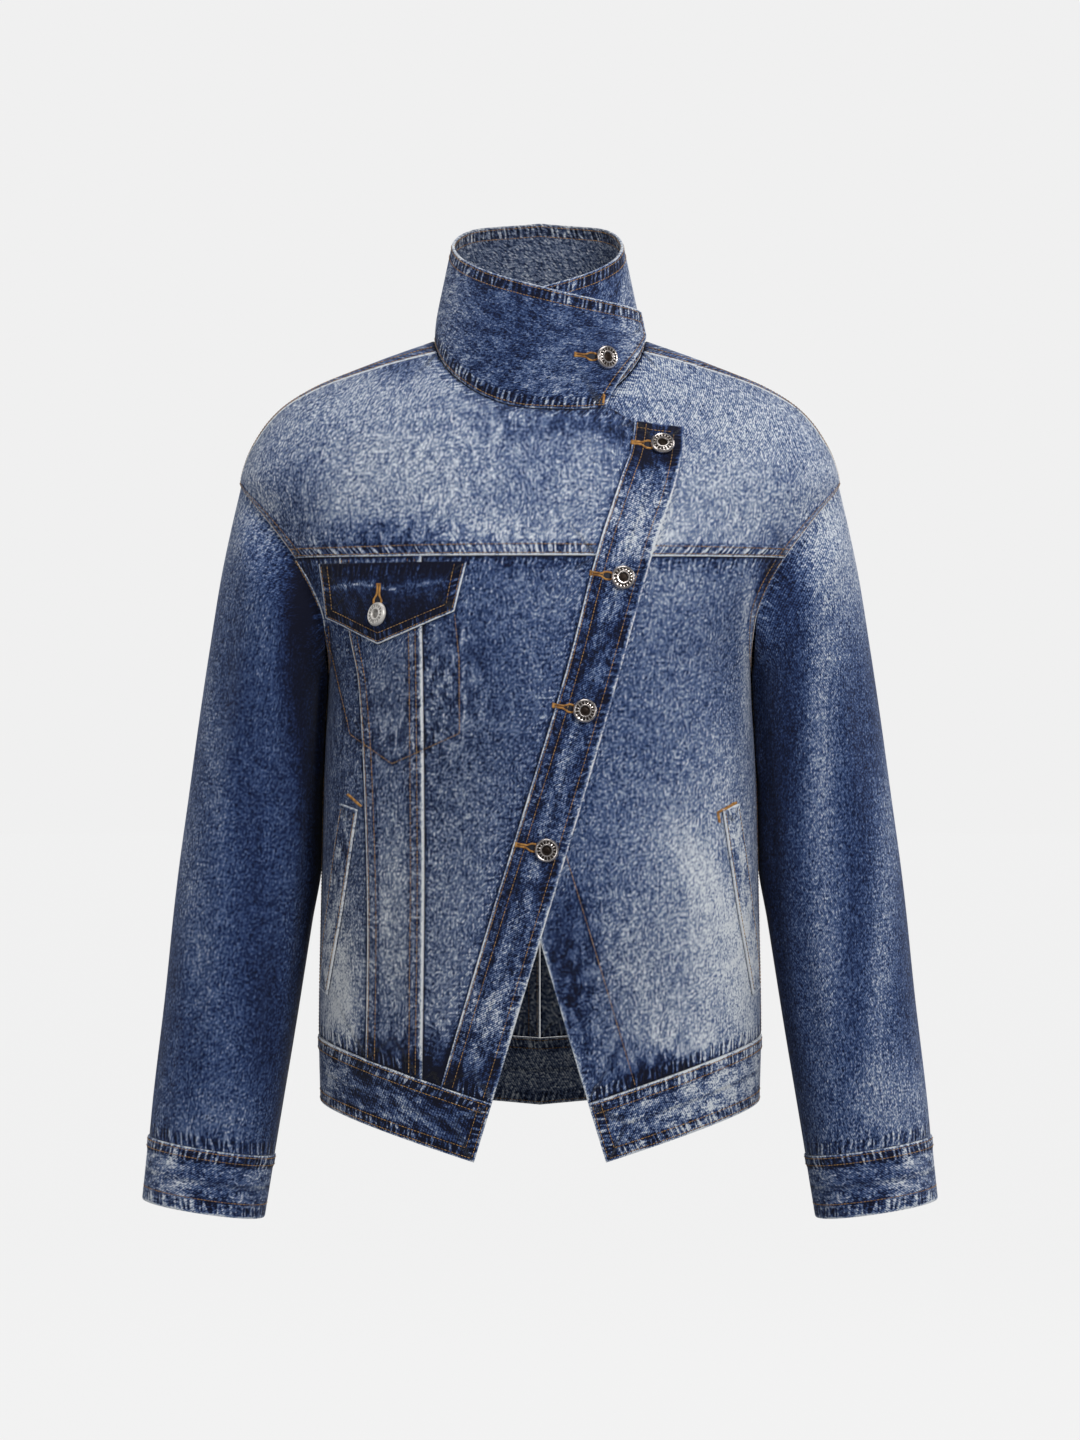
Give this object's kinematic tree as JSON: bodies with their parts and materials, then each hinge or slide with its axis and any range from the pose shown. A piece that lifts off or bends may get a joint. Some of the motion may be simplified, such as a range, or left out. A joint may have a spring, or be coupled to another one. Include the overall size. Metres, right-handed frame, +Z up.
{
  "type": "denim jacket",
  "caption": "Hollow denim jacket as worn, with a wrapped stand collar, a diagonal button band, a pointed hem and long sleeves with cuffs.",
  "frame": {"origin": "midway between the two points where the shoulder seams meet the neck seam, where the wearer's shoulders and neck hold the jacket", "axes": "+Z up, -Y towards the jacket's front, +X towards the wearer's left"},
  "size_m": [0.589, 0.2505, 0.7416],
  "materials": {
    "denim_blue": "indigo cotton twill, faded",
    "denim_pale": "indigo cotton twill, strongly faded",
    "denim_dark": "indigo cotton twill, nearly unfaded",
    "antique_silver": "antique silver, worn"
  },
  "bodies": {
    "root": {"yoke_front_right": "denim_pale", "yoke_front_left": "denim_pale", "front_right_side": "denim_blue", "front_right_strip": "denim_pale", "front_right_centre": "denim_blue", "placket_right": "denim_dark", "front_left": "denim_blue", "back_right": "denim_blue", "back_left": "denim_blue", "collar": "denim_dark", "sleeve_right": "denim_blue", "sleeve_left": "denim_blue", "cuff_right": "denim_dark", "cuff_left": "denim_dark", "waistband": "denim_dark", "chest_flap": "denim_dark", "welt_right": "denim_blue", "welt_left": "denim_blue", "button_collar": "antique_silver", "button_top": "antique_silver", "button_chest": "antique_silver", "button_waist": "antique_silver", "button_low": "antique_silver", "button_flap": "antique_silver"}
  },
  "joints": []
}
